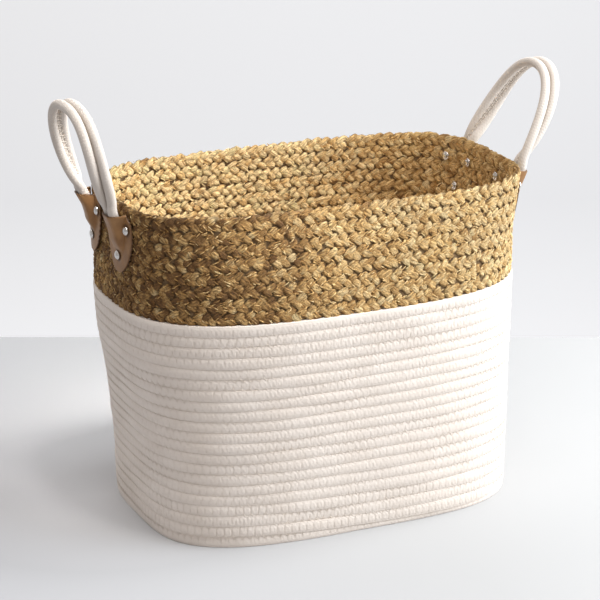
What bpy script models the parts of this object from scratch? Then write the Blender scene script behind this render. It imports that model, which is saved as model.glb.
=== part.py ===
"""A storage basket: a sewn cotton-rope body under a plaited seagrass band, with two rope handles.

The basket stands on z = 0 with its centre over the origin. Its long side lies along X. "left" is the -X end,
"right" the +X end, "front" the -Y side and "back" the +Y side. Lengths are in metres.
"""

import math

import bmesh
import bpy
import numpy as np
from mathutils import Matrix, Vector

# Body
RIM_HEIGHT = 0.300
SEAM_HEIGHT = 0.2073  # where the seagrass band is sewn to the cotton body
COTTON_THICK = 0.009
SEAGRASS_THICK = 0.006
BAND_INSET = 0.001  # the cotton stands this far proud of the band at the seam
FLOOR_ROUNDING = 0.010  # height of the rounded bottom edge
FLOOR_INSET = 0.0065  # how far that edge draws in
FLOOR_EDGE = ((0.0, 1.0), (0.2, 0.52), (0.5, 0.17), (1.0, 0.0))  # share of that height, share of that inset
BAND_ROUNDING = 0.002  # height of the band's softened top and bottom edges
RIM_CHAMFER = 0.0014
SEAM_CHAMFER = 0.0005
PART_GAP = 0.0003
RING_POINTS = 64

# The outside of the body at each level. Each level is a superellipse.
# height, half length, half width, corner squareness, sideways lean of the hand-sewn wall
LEVELS = (
    (0.000, 0.1750, 0.1200, 3.47, 0.0030),
    (0.060, 0.1769, 0.1223, 3.30, 0.0030),
    (0.120, 0.1814, 0.1246, 3.10, 0.0005),
    (0.170, 0.1872, 0.1265, 2.95, -0.0025),
    (SEAM_HEIGHT, 0.1895, 0.1278, 2.86, -0.0035),
    (0.250, 0.1867, 0.1198, 3.27, -0.0030),
    (RIM_HEIGHT, 0.1892, 0.1104, 3.74, 0.0000),
)

# Handle straps: two ropes side by side
ROPE_RADIUS = 0.00435
ROPE_SPACING = 0.0090
ROPE_SIDES = 8
LOOP_STEPS = 15  # along half of a loop
HINGE_HEIGHT = 0.301  # the strap folds over just above the rim
CLAMPED_BOTTOM = 0.2715
CLAMPED_TOP = 0.2950
CLAMPED_OUT = 0.00465  # strap centre from the wall, where it lies flat under its tab
BEND_START = 0.281  # above this the strap leaves the wall
CLAMPED_LEVELS = (CLAMPED_BOTTOM, BEND_START, 0.288, CLAMPED_TOP)
CLAMPED_SPREAD = 0.9  # share of a rope's radius from the strap's middle to each clamped rope's centre
TWIST_POWER = 3.0

# side: -1 left, +1 right. tab_y: the front tab, then the back tab.
# The loop springs from hinge_x, y = centre_y +- half_span, and is a Bezier arch of the given top. At a rise of r
# above the hinge it leans out by lean * r + lean_curve * r * r.
HANDLES = {
    "left": {
        "side": -1,
        "tab_y": (-0.028, 0.041),
        "hinge_x": 0.1999,
        "centre_y": 0.0066,
        "half_span": 0.0395,
        "base_rise": 0.0030,
        "top_half": 0.0720,
        "top_height": 0.3816,
        "lean": 0.39,
        "lean_curve": -1.9,
    },
    "right": {
        "side": 1,
        "tab_y": (-0.037, 0.050),
        "hinge_x": 0.1950,
        "centre_y": 0.0067,
        "half_span": 0.0475,
        "base_rise": 0.0033,
        "top_half": 0.0523,
        "top_height": 0.3780,
        "lean": 0.73,
        "lean_curve": -2.2,
    },
}

# Leather tabs: an egg with its broad end up, humped over the strap like a pocket
TAB_THICK = 0.0016
TAB_HALF_WIDTH = 0.0245
TAB_WIDEST = 0.276
TAB_ROWS = (0.2935, 0.2885, 0.2835, 0.2775, 0.2710, 0.2625, 0.2555, 0.2495, 0.2450, 0.2405)
TAB_UPPER = (0.0205, 2.3)  # reach above the widest line, roundness of the outline
TAB_LOWER = (0.0365, 1.8)
POCKET_FLOOR = 0.2627  # the hump has faded out here
# Half of the hump's inner outline: distance from its centre, share of the hump's height there
HUMP = ((0.0, 1.0), (0.0044, 1.0), (0.0077, 0.89), (0.0093, 0.59), (0.0097, 0.30), (0.0114, 0.0))
HUMP_CLEARANCE = 0.0004
HUMP_SHARE = 0.8  # of the tab's width that the hump may fill where the tab narrows

# Rivets: two beside the strap, one below it
RIVET_SPREAD = 0.0166
RIVET_UPPER = 0.2812
RIVET_LOWER = 0.2553
CAP_RADIUS = 0.0041
CAP_HEIGHT = 0.0024
CAP_DOME = ((0.0, 1.0), (0.55, 0.88), (0.9, 0.5), (1.0, 0.0))  # share of the radius, share of the height
POST_RADIUS = 0.0016
POST_END = ((0.0026, 0.0003), (0.0021, 0.0011), (0.0, 0.0012))  # radius, distance past the washer
HOLE_RADIUS = 0.0020
WASHER_RADIUS = 0.0040
WASHER_THICK = 0.0010
WASHER_EDGE = 0.85  # share of the washer's radius that touches the wall
WASHER_GAP = 0.0007
CUTTER_LENGTH = 0.03
LATHE_STEPS = 12


def outline_values(z):
    """Half length, half width, squareness and lean of the outside at height z."""
    table = np.array(LEVELS)
    return [float(np.interp(z, table[:, 0], table[:, i])) for i in range(1, 5)]


def outline(z, inset):
    """One ring of the body, drawn in by inset from its outside at height z."""
    length, width, square, lean = outline_values(z)
    angles = np.arange(RING_POINTS) * 2 * math.pi / RING_POINTS
    c, s = np.cos(angles), np.sin(angles)
    x = lean + (length - inset) * np.sign(c) * np.abs(c) ** (2 / square)
    y = (width - inset) * np.sign(s) * np.abs(s) ** (2 / square)
    return [(float(a), float(b), z) for a, b in zip(x, y)]


def wall_x(side, y, z):
    """X of the outside of an end wall."""
    length, width, square, lean = outline_values(z)
    return lean + side * length * (1 - (abs(y) / width) ** square) ** (1 / square)


def wall_point(side, y, z, out=0.0):
    """A point on an end wall, moved out along the wall's normal there."""
    step = 0.0005
    along_y = Vector((wall_x(side, y + step, z) - wall_x(side, y - step, z), 2 * step, 0))
    along_z = Vector((wall_x(side, y, z + step) - wall_x(side, y, z - step), 0, 2 * step))
    normal = along_y.cross(along_z).normalized() * side
    return Vector((wall_x(side, y, z), y, z)) + out * normal, normal


def wall_depth(point, normal):
    """How far behind a point on the outside the band's inner face lies, along the normal."""
    step, depth = 0.00005, SEAGRASS_THICK
    while True:
        inside = point - depth * normal
        length, width, square, lean = outline_values(inside.z)
        drawn_in = SEAGRASS_THICK + BAND_INSET * (RIM_HEIGHT - inside.z) / (RIM_HEIGHT - SEAM_HEIGHT)
        share = (abs(inside.x - lean) / (length - drawn_in)) ** square
        share += (abs(inside.y) / (width - drawn_in)) ** square
        if share < 1:
            return depth
        depth += step


def smooth(value, low, high):
    t = min(max((value - low) / (high - low), 0.0), 1.0)
    return t * t * (3 - 2 * t)


def material(name, colour, roughness, metallic=0.0):
    made = bpy.data.materials.new(name)
    made.use_nodes = True
    shader = made.node_tree.nodes["Principled BSDF"]
    shader.inputs["Base Color"].default_value = (*colour, 1.0)
    shader.inputs["Roughness"].default_value = roughness
    shader.inputs["Metallic"].default_value = metallic
    made.diffuse_color = (*colour, 1.0)
    return made


def mesh_from(name, bm, smooth_angle=math.radians(40)):
    bmesh.ops.recalc_face_normals(bm, faces=bm.faces)
    mesh = bpy.data.meshes.new(name)
    bm.to_mesh(mesh)
    bm.free()
    mesh.shade_smooth()
    mesh.set_sharp_from_angle(angle=smooth_angle)
    return mesh


def place(name, mesh, finish=None, location=(0, 0, 0), rotation=None, parent=None):
    obj = bpy.data.objects.new(name, mesh)
    bpy.context.scene.collection.objects.link(obj)
    if finish and not mesh.materials:
        mesh.materials.append(finish)
    obj.parent = parent
    obj.location = location
    if rotation is not None:
        obj.rotation_euler = rotation.to_euler()
    return obj


def add_rings(bm, rings, closed):
    """Skins a row of rings with quads. If closed, the last ring joins the first."""
    loops = [[bm.verts.new(p) for p in ring] for ring in rings]
    pairs = list(zip(loops, loops[1:] + loops[:1])) if closed else list(zip(loops, loops[1:]))
    for low, high in pairs:
        for i in range(len(low)):
            j = (i + 1) % len(low)
            bm.faces.new((low[i], low[j], high[j], high[i]))
    return loops


def levels_between(low, high):
    return [level[0] for level in LEVELS if low < level[0] < high]


def make_wall(finish):
    top = SEAM_HEIGHT - PART_GAP
    middle = levels_between(FLOOR_ROUNDING, top)
    outer = [(height * FLOOR_ROUNDING, inset * FLOOR_INSET) for height, inset in FLOOR_EDGE]
    outer += [(z, 0.0) for z in middle] + [(top, 0.0)]
    inner = [(z, COTTON_THICK) for z in (top, *reversed(middle), FLOOR_ROUNDING)]
    inner.append((0.0, COTTON_THICK + FLOOR_INSET))
    bm = bmesh.new()
    add_rings(bm, [outline(z, inset) for z, inset in outer + inner], closed=True)
    place("cotton_wall", mesh_from("cotton_wall", bm), finish)


def make_base(finish):
    foot = COTTON_THICK + FLOOR_INSET + PART_GAP
    shoulder = foot - FLOOR_INSET * COTTON_THICK / FLOOR_ROUNDING
    bm = bmesh.new()
    rings = [outline(0.0, foot), [(x, y, COTTON_THICK) for x, y, _ in outline(0.0, shoulder)]]
    bottom, top = add_rings(bm, rings, closed=False)
    bm.faces.new(bottom)
    bm.faces.new(top)
    place("cotton_base", mesh_from("cotton_base", bm), finish)


def make_band(finish, cutter):
    bottom, top = SEAM_HEIGHT, RIM_HEIGHT
    low, high = bottom + BAND_ROUNDING, top - BAND_ROUNDING
    face = [(z, BAND_INSET * (top - z) / (top - bottom)) for z in (low, *levels_between(low, high), high)]
    outer = [(bottom, BAND_INSET + SEAM_CHAMFER), *face, (top, RIM_CHAMFER)]
    inner = [(z, inset + SEAGRASS_THICK) for z, inset in face]
    inner.insert(0, (bottom, BAND_INSET + SEAGRASS_THICK - SEAM_CHAMFER))
    inner.append((top, SEAGRASS_THICK - RIM_CHAMFER))
    bm = bmesh.new()
    rings = [outline(z, inset) for z, inset in outer + inner[::-1]]
    add_rings(bm, rings, closed=True)
    band = place("seagrass_band", mesh_from("seagrass_band", bm), finish)
    cut_holes(band, cutter)


def cut_holes(obj, cutter):
    cut = obj.modifiers.new("rivet_holes", "BOOLEAN")
    cut.object = cutter
    cut.operation = "DIFFERENCE"
    cut.solver = "EXACT"


def turned(profile):
    """A ring of points about local Z for each (radius, height)."""
    angles = [2 * math.pi * i / LATHE_STEPS for i in range(LATHE_STEPS)]
    return [[(r * math.cos(a), r * math.sin(a), h) for a in angles] for r, h in profile]


def lathe(name, profile):
    """A solid turned about local Z from (radius, height) points that start and end on the axis."""
    bm = bmesh.new()
    loops = add_rings(bm, turned(profile[1:-1]), closed=False)
    for loop, (_, h) in ((loops[0], profile[0]), (loops[-1], profile[-1])):
        tip = bm.verts.new((0, 0, h))
        for i in range(LATHE_STEPS):
            bm.faces.new((loop[i], loop[(i + 1) % LATHE_STEPS], tip))
    return mesh_from(name, bm)


def rivet_mesh(name, depth):
    """Local Z points out of the wall, from the wall's outside. depth is the washer's far face."""
    seat = TAB_THICK + 3 * PART_GAP
    inside = -(depth + PART_GAP)
    profile = [(radius * CAP_RADIUS, seat + height * CAP_HEIGHT) for radius, height in CAP_DOME]
    profile += [(POST_RADIUS, seat), (POST_RADIUS, inside)]
    profile += [(radius, inside - past) for radius, past in POST_END]
    return lathe(name, profile)


def washer_mesh():
    """The burr washer that the post is peened over, inside the wall."""
    bm = bmesh.new()
    profile = (
        (WASHER_RADIUS, WASHER_THICK),
        (HOLE_RADIUS, WASHER_THICK),
        (HOLE_RADIUS, 0.0),
        (WASHER_EDGE * WASHER_RADIUS, 0.0),
    )
    add_rings(bm, turned(profile), closed=True)
    return mesh_from("washer", bm)


def rivet_seats():
    """(name, place on the wall, normal) of each rivet."""
    for end, handle in HANDLES.items():
        for where, tab_y in zip(("front", "back"), handle["tab_y"]):
            spots = (
                ("a", tab_y - RIVET_SPREAD, RIVET_UPPER),
                ("b", tab_y + RIVET_SPREAD, RIVET_UPPER),
                ("c", tab_y, RIVET_LOWER),
            )
            for letter, y, z in spots:
                point, normal = wall_point(handle["side"], y, z)
                yield f"{end}_{where}_{letter}", point, normal


def make_cutter():
    """Every rivet hole as one hidden cutter."""
    bm = bmesh.new()
    for _, point, normal in rivet_seats():
        turn = normal.to_track_quat("Z", "Y").to_matrix().to_4x4()
        bmesh.ops.create_cone(
            bm,
            cap_ends=True,
            segments=LATHE_STEPS,
            radius1=HOLE_RADIUS,
            radius2=HOLE_RADIUS,
            depth=CUTTER_LENGTH,
            matrix=Matrix.Translation(point) @ turn,
        )
    cutter = place("rivet_hole_cutter", mesh_from("rivet_hole_cutter", bm))
    cutter.hide_render = True
    cutter.display_type = "WIRE"
    return cutter


def make_rivets(finish):
    washer = washer_mesh()
    for name, point, normal in rivet_seats():
        turn = normal.to_track_quat("Z", "Y")
        depth = wall_depth(point, normal) + WASHER_GAP + WASHER_THICK
        place(f"rivet_{name}", rivet_mesh(f"rivet_{name}", depth), finish, point, turn)
        place(f"washer_{name}", washer, finish, point - depth * normal, turn)


def strap_at(handle, leg, tab_y, z):
    """Where the strap's centre lies below the hinge: y, and distance from the wall."""
    hinge_y = handle["centre_y"] + leg * handle["half_span"]
    hinge_out = handle["hinge_x"] - abs(wall_x(handle["side"], tab_y, RIM_HEIGHT))
    share = smooth(z, BEND_START, HINGE_HEIGHT)
    return tab_y + share * (hinge_y - tab_y), CLAMPED_OUT + share * (hinge_out - CLAMPED_OUT)


def tab_half_width(z):
    reach, roundness = TAB_UPPER if z > TAB_WIDEST else TAB_LOWER
    share = abs(z - TAB_WIDEST) / reach
    return TAB_HALF_WIDTH * (1 - share**roundness) ** (1 / roundness)


def tab_row(handle, leg, tab_y, z):
    """One row of the tab's inner face, from its -Y edge to its +Y edge."""
    half_width = tab_half_width(z)
    centre, out = strap_at(handle, leg, tab_y, z)
    height = (out + ROPE_RADIUS + HUMP_CLEARANCE) * smooth(z, POCKET_FLOOR, CLAMPED_BOTTOM - PART_GAP)
    squeeze = min(1.0, HUMP_SHARE * half_width / HUMP[-1][0])
    hump_end = squeeze * HUMP[-1][0]
    # Half a row: distance from the tab's middle, lift, share of the strap's sideways shift it follows
    half = [(squeeze * across, height * share, 1.0) for across, share in HUMP]
    half += [((half_width + hump_end) / 2, 0.0, 0.5), (half_width, 0.0, 0.0)]
    other_half = [(-across, lift, follow) for across, lift, follow in half[:0:-1]]
    row = []
    for across, lift, follow in other_half + half:
        y = tab_y + across + follow * (centre - tab_y)
        row.append(wall_point(handle["side"], y, z, PART_GAP + lift)[0])
    return row


def make_tab(name, handle, leg, tab_y, finish, cutter):
    origin, _ = wall_point(handle["side"], tab_y, TAB_WIDEST)
    bm = bmesh.new()
    rows = []
    for z in TAB_ROWS:
        rows.append([bm.verts.new(p - origin) for p in tab_row(handle, leg, tab_y, z)])
    for upper, lower in zip(rows, rows[1:]):
        for i in range(len(upper) - 1):
            bm.faces.new((upper[i], upper[i + 1], lower[i + 1], lower[i]))
    bmesh.ops.recalc_face_normals(bm, faces=bm.faces)
    bm.normal_update()
    if sum(face.normal.x for face in bm.faces) * handle["side"] < 0:
        bmesh.ops.reverse_faces(bm, faces=bm.faces)
    mesh = bpy.data.meshes.new(name)
    bm.to_mesh(mesh)
    bm.free()
    mesh.shade_smooth()
    tab = place(name, mesh, finish, origin)
    leather = tab.modifiers.new("leather", "SOLIDIFY")
    leather.thickness = TAB_THICK
    leather.offset = 1.0
    leather.use_even_offset = True
    cut_holes(tab, cutter)


def strap_section():
    """The two ropes' joint outline: (across, out) about the strap's centre."""
    centre = CLAMPED_SPREAD * ROPE_RADIUS
    points = []
    for sign in (1, -1):
        for degrees in (-140, -90, -45, 0, 45, 90, 140):
            angle = math.radians(degrees)
            across = sign * (centre + ROPE_RADIUS * math.cos(angle))
            points.append((across, sign * ROPE_RADIUS * math.sin(angle)))
    return points


def make_clamped_end(name, handle, leg, tab_y, finish):
    """The sewn pair of ropes that a tab holds against the wall."""
    origin, _ = wall_point(handle["side"], tab_y, CLAMPED_BOTTOM)
    rings = []
    for z in CLAMPED_LEVELS:
        y, out = strap_at(handle, leg, tab_y, z)
        ring = []
        for across, proud in strap_section():
            ring.append(wall_point(handle["side"], y + across, z, out + proud)[0] - origin)
        rings.append(ring)
    bm = bmesh.new()
    loops = add_rings(bm, rings, closed=False)
    bm.faces.new(loops[0])
    bm.faces.new(loops[-1])
    place(name, mesh_from(name, bm), finish, origin)


def bezier(p0, p1, p2, p3, t):
    s = 1 - t
    return s**3 * p0 + 3 * s * s * t * p1 + 3 * s * t * t * p2 + t**3 * p3


def loop_point(handle, leg, t):
    """A point on the strap's centre line and its width's direction: t = 0 at the hinge, 1 at the loop's top."""
    span, top = handle["half_span"], handle["top_height"]
    half = bezier(span, span, handle["top_half"], 0.0, t)
    z = bezier(HINGE_HEIGHT, HINGE_HEIGHT + handle["base_rise"], top, top, t)
    rise = z - HINGE_HEIGHT
    x = handle["hinge_x"] + handle["lean"] * rise + handle["lean_curve"] * rise * rise
    twist = math.radians(90) * (1 - (1 - t) ** TWIST_POWER)
    width = Vector((handle["side"] * math.sin(twist), -leg * math.cos(twist), 0))
    return Vector((handle["side"] * x, handle["centre_y"] + leg * half, z)), width


def loop_line(handle, rope):
    """One rope's centre line over the whole loop. rope is +1 for the one away from the basket at the top."""
    steps = [i / LOOP_STEPS for i in range(LOOP_STEPS + 1)]
    route = [(-1, t) for t in steps] + [(1, t) for t in steps[-2::-1]]
    samples = [loop_point(handle, leg, t) for leg, t in route]
    line = []
    for i, (point, width) in enumerate(samples):
        before, after = samples[max(i - 1, 0)][0], samples[min(i + 1, len(samples) - 1)][0]
        along = (after - before).normalized()
        if 0 < i < len(samples) - 1:
            width = (width - width.dot(along) * along).normalized()
        line.append(point + rope * ROPE_SPACING / 2 * width)
    return line


def tube_rings(line, radius):
    """Round sections along a line, with a domed end at each end."""
    last = len(line) - 1
    tangents = [(line[min(i + 1, last)] - line[max(i - 1, 0)]).normalized() for i in range(last + 1)]
    normal = tangents[0].orthogonal().normalized()
    rings = []
    for i, (point, along) in enumerate(zip(line, tangents)):
        normal = (normal - normal.dot(along) * along).normalized()
        across = along.cross(normal)
        stations = [(point, radius)]
        dome = [(-radius * math.sin(a), radius * math.cos(a)) for a in (math.radians(75), math.radians(40))]
        if i == 0:
            stations = [(point + along * back, r) for back, r in dome] + stations
        if i == last:
            stations += [(point - along * back, r) for back, r in dome[::-1]]
        for centre, r in stations:
            ring = []
            for k in range(ROPE_SIDES):
                a = 2 * math.pi * k / ROPE_SIDES
                ring.append(centre + r * (math.cos(a) * normal + math.sin(a) * across))
            rings.append(ring)
    return rings


def make_loop(end, handle, finish):
    """The two free ropes of a handle, on an empty that sits on the fold's axis."""
    hinge = bpy.data.objects.new(f"{end}_handle_hinge", None)
    hinge.location = (handle["side"] * handle["hinge_x"], handle["centre_y"], HINGE_HEIGHT)
    bpy.context.scene.collection.objects.link(hinge)
    for rope, where in ((1, "outer"), (-1, "inner")):
        name = f"{end}_handle_{where}_rope"
        line = [p - hinge.location for p in loop_line(handle, rope)]
        bm = bmesh.new()
        loops = add_rings(bm, tube_rings(line, ROPE_RADIUS), closed=False)
        bm.faces.new(loops[0])
        bm.faces.new(loops[-1])
        place(name, mesh_from(name, bm, math.radians(60)), finish, parent=hinge)


def main():
    for obj in list(bpy.data.objects):
        bpy.data.objects.remove(obj, do_unlink=True)
    cotton = material("cotton_rope", (0.80, 0.77, 0.71), 0.9)
    seagrass = material("seagrass_plait", (0.50, 0.35, 0.16), 0.75)
    leather = material("tan_leather", (0.42, 0.26, 0.15), 0.5)
    nickel = material("nickel", (0.72, 0.70, 0.67), 0.25, 1.0)
    cutter = make_cutter()
    make_base(cotton)
    make_wall(cotton)
    make_band(seagrass, cutter)
    for end, handle in HANDLES.items():
        for leg, where, tab_y in zip((-1, 1), ("front", "back"), handle["tab_y"]):
            make_tab(f"tab_{end}_{where}", handle, leg, tab_y, leather, cutter)
            make_clamped_end(f"strap_end_{end}_{where}", handle, leg, tab_y, cotton)
        make_loop(end, handle, cotton)
    make_rivets(nickel)


main()
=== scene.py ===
"""The storage basket's looks: sewn cotton rope, plaited seagrass, rope straps, leather tabs and rivets."""

import math

import bmesh
import bpy
import numpy as np
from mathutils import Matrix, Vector


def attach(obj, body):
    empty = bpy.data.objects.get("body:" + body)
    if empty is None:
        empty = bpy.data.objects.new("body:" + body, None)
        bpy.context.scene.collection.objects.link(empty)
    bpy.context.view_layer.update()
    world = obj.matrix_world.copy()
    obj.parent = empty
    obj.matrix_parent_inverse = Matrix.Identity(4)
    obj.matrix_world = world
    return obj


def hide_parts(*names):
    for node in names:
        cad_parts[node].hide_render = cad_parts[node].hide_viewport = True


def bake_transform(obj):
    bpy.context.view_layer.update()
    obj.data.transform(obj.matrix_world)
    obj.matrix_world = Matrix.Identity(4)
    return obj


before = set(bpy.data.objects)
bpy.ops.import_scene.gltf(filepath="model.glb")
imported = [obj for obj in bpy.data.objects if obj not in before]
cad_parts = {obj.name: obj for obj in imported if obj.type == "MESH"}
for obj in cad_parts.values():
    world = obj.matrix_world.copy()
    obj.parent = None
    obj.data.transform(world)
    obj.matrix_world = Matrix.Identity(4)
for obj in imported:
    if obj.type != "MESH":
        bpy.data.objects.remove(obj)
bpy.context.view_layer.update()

# Body, as in the CAD part
RIM_HEIGHT = 0.300
SEAM_HEIGHT = 0.2073
COTTON_THICK = 0.009
SEAGRASS_THICK = 0.006
FLOOR_INSET = 0.0065
PART_GAP = 0.0003
# height, half length, half width, corner squareness, sideways lean
LEVELS = np.array(
    (
        (0.000, 0.1750, 0.1200, 3.47, 0.0030),
        (0.060, 0.1769, 0.1223, 3.30, 0.0030),
        (0.120, 0.1814, 0.1246, 3.10, 0.0005),
        (0.170, 0.1872, 0.1265, 2.95, -0.0025),
        (SEAM_HEIGHT, 0.1895, 0.1278, 2.86, -0.0035),
        (0.250, 0.1867, 0.1198, 3.27, -0.0030),
        (RIM_HEIGHT, 0.1892, 0.1104, 3.74, 0.0000),
    )
)

# Straps, as in the CAD part
ROPE_RADIUS = 0.00435
ROPE_SPACING = 0.0090
HINGE_HEIGHT = 0.301
FOLD_REACH = (-0.004, 0.016)  # the fold's start and end, from the hinge's height
CLAMPED_BOTTOM = 0.2715
CLAMPED_OUT = 0.00465
BEND_START = 0.281
TWIST_POWER = 3.0
STRAP_STEP = 0.0005  # between the rings of a strap's ropes
STRAP_SIDES = 36
STRAP_SMOOTHINGS = 60
COVER_PATTERN = 0.0052  # length of one repeat of the braided cover
STRAP_STITCH = 0.0031
HANDLE_VALUES = {
    "side": (-1, 1),
    "tab_y": ((-0.028, 0.041), (-0.037, 0.050)),
    "hinge_x": (0.1999, 0.1950),
    "centre_y": (0.0066, 0.0067),
    "half_span": (0.0395, 0.0475),
    "base_rise": (0.0030, 0.0033),
    "top_half": (0.0720, 0.0523),
    "top_height": (0.3816, 0.3780),
    "lean": (0.39, 0.73),
    "lean_curve": (-1.9, -2.2),
}
HANDLES = {end: {key: pair[i] for key, pair in HANDLE_VALUES.items()} for i, end in enumerate(("left", "right"))}

# Tabs and rivets, as in the CAD part
TAB_THICK = 0.0016
TAB_HALF_WIDTH = 0.0245
TAB_WIDEST = 0.276
TAB_TOP = 0.2935
TAB_BOTTOM = 0.2405
TAB_UPPER = (0.0205, 2.3)
TAB_LOWER = (0.0365, 1.8)
# distance from the hump's middle, share of its height
HUMP = np.array(((0.0, 1.0), (0.0044, 1.0), (0.0077, 0.89), (0.0093, 0.59), (0.0097, 0.30), (0.0114, 0.0)))
HUMP_CLEARANCE = 0.0004
HUMP_SHARE = 0.8
RIVET_SPREAD = 0.0166
RIVET_UPPER = 0.2812
RIVET_LOWER = 0.2553
CAP_RADIUS = 0.0041
CAP_HEIGHT = 0.0024
POST_RADIUS = 0.0016
HOLE_RADIUS = 0.0020
WASHER_RADIUS = 0.0040
WASHER_THICK = 0.0010
WASHER_GAP = 0.0007
RIVET_STEPS = 36
TAB_ROWS, TAB_HALF_COLUMNS = 64, 30

# Cotton rows
COTTON_ROWS = 21
STITCHES = 152  # round the body
STEPS_PER_STITCH = 8
ROW_STEPS = STITCHES * STEPS_PER_STITCH
ROPE_HALF_THICK = 0.0045
BODY_ROUND = 1.15  # metres round the body, about
ROPE_SQUARENESS = 3.6
ROWS_PER_PIECE = 3
STITCH_REACH = 0.0027  # from the seam to each needle hole
STITCH_WIDTH = 0.0009  # of the dent along the thread
STITCH_DEPTH, HOLE_DEPTH = 0.00010, 0.00066
# Painted shade along the stitches, in the needle holes and in the grooves between rows.
STITCH_SHADE, HOLE_SHADE, GROOVE_SHADE = 0.06, 0.55, 0.2
SQUEEZED_ROWS, SQUEEZE_START = 8, 0.60  # the lowest rows, from this part of a turn on
THREAD_RADIUS = 0.00025
THREAD_SIDES = 4
THREAD_SINK = 0.00074  # of the seam's groove below the outline
BASE_RINGS = 11
BASE_STITCH = 0.0075
UPWARD = np.array((0, 0, 1.0))

# Seagrass plait
PLAIT_ROWS = 8
PLAIT_REPEATS = 38  # whole braid repeats round the body, three crossings each
BAND_ROUND = 1.13  # metres round the band, about
STRAND_SAMPLES = 1064
STRAND_SIDES = 18
STRAND_SWING = 0.0038
STRAND_DEPTH = 0.0014
STRAND_HALF_WIDTH = 0.0030
STRAND_HALF_THICK = 0.0014
BLADES = 6  # blades bundled in each strand
MOST_BUMPS = 4096  # more than one strand shows round the body
INSIDE_GAP_SHADE = 0.6  # painted shade in the inside's gaps, as a share of the outside's, so the inside looks lighter
END_GAP_SHADE = 0.7  # how much more painted shade the gaps get round the -X end
# name: count, shortest and longest, how far the tip stands off, radius, sides, lying flat
FIBRES = {
    "blades": (6000, (0.003, 0.007), 0.0005, 0.00042, 4, True),
    "hairs": (1800, (0.003, 0.008), 0.0015, 0.00016, 3, False),
}
FIBRE_POINTS = 4

FULL_TURN = 2 * math.pi


# ------------------------------ camera and stage

AZIMUTH, ELEVATION = math.radians(-24.07), math.radians(18.33)
DISTANCE = 2.1639
SIDE_SHIFT, LIFT_SHIFT = -0.00675, 0.02856  # of the camera, off the line to the body's middle
LENS = 141.84


def aimed(name, data, place, direction):
    """A camera or light at a place, facing a direction."""
    obj = bpy.data.objects.new(name, data)
    bpy.context.scene.collection.objects.link(obj)
    obj.location = place
    obj.rotation_mode = "QUATERNION"
    obj.rotation_quaternion = direction.to_track_quat("-Z", "Y")
    return obj


def make_camera():
    level = math.cos(ELEVATION)
    back = Vector((math.sin(AZIMUTH) * level, -math.cos(AZIMUTH) * level, math.sin(ELEVATION)))
    right = Vector((math.cos(AZIMUTH), math.sin(AZIMUTH), 0))
    data = bpy.data.cameras.new("camera")
    data.lens = LENS
    data.sensor_width = 36
    data.clip_end = 60
    place = Vector((0, 0, RIM_HEIGHT / 2)) + back * DISTANCE + right * SIDE_SHIFT + back.cross(right) * LIFT_SHIFT
    bpy.context.scene.camera = aimed("camera", data, place, -back)


# name: place, target, diameter, power, colour, spread
LIGHTS = {
    "key": ((1.2, -0.5, 0.9), (0, 0, 0.15), 1.7, 45, (0.90, 0.955, 1.0), math.pi),
    "overhead": ((0.25, -0.5, 2.0), (0, 0, 0.2), 1.5, 27, (1.0, 0.985, 0.97), math.pi),
    "inside_light": (
        (-0.03, -0.20, 0.90), (-0.045, 0.050, 0.27), 0.26, 0.30, (1.0, 0.96, 0.90), math.radians(25)
    ),
    "backdrop_light": ((-0.8, 1.0, 2.0), (-1.2, 2.0, -0.2), 1.2, 10, (1.0, 1.0, 1.0), math.pi),
}
WORLD_COLOUR = (1.0, 0.955, 0.93)
WORLD_STRENGTH = 0.475


def make_lights():
    for name, (place, target, size, power, colour, spread) in LIGHTS.items():
        data = bpy.data.lights.new(name, "AREA")
        data.shape = "DISK"
        data.size = size
        data.energy = power
        data.color = colour
        data.spread = spread
        aimed(name, data, place, Vector(target) - Vector(place))
    world = bpy.data.worlds.new("studio")
    bpy.context.scene.world = world
    world.use_nodes = True
    background = world.node_tree.nodes["Background"]
    background.inputs["Color"].default_value = (*WORLD_COLOUR, 1)
    background.inputs["Strength"].default_value = WORLD_STRENGTH


# ------------------------------ meshes


def mesh_object(name, points, quads, finish, triangles=None, marks=None):
    """An object from arrays. marks holds one number or vector for each point, by attribute name."""
    points = np.ascontiguousarray(points, np.float32)
    quads = np.asarray(quads, np.int32).reshape(-1, 4)
    triangles = np.zeros((0, 3), np.int32) if triangles is None else np.asarray(triangles, np.int32).reshape(-1, 3)
    mesh = bpy.data.meshes.new(name)
    mesh.vertices.add(len(points))
    mesh.vertices.foreach_set("co", points.ravel())
    corners = np.concatenate([quads.ravel(), triangles.ravel()])
    mesh.loops.add(len(corners))
    mesh.loops.foreach_set("vertex_index", corners)
    starts = np.concatenate([np.arange(len(quads)) * 4, quads.size + np.arange(len(triangles)) * 3])
    mesh.polygons.add(len(starts))
    mesh.polygons.foreach_set("loop_start", starts.astype(np.int32))
    mesh.update(calc_edges=True)
    for mark, values in (marks or {}).items():
        values = np.ascontiguousarray(values, np.float32)
        if values.ndim == 1:
            mesh.attributes.new(mark, "FLOAT", "POINT").data.foreach_set("value", values)
        else:
            mesh.attributes.new(mark, "FLOAT_VECTOR", "POINT").data.foreach_set("vector", values.ravel())
    mesh.shade_smooth()
    mesh.materials.append(finish)
    obj = bpy.data.objects.new(name, mesh)
    bpy.context.scene.collection.objects.link(obj)
    return obj


def grid_quads(rows, columns, wrap_rows, wrap_columns, start=0):
    """Quads of a grid whose points run row by row."""
    i = np.arange(rows if wrap_rows else rows - 1)[:, None]
    j = np.arange(columns if wrap_columns else columns - 1)[None, :]
    a = i * columns + j
    b = i * columns + (j + 1) % columns
    c = ((i + 1) % rows) * columns + (j + 1) % columns
    d = ((i + 1) % rows) * columns + j
    return np.stack([a, b, c, d], -1).reshape(-1, 4) + start


def shares(count):
    """Even shares of one turn, from 0."""
    return np.arange(count) / count


def angles_round(count):
    return np.arange(count) * FULL_TURN / count


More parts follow.
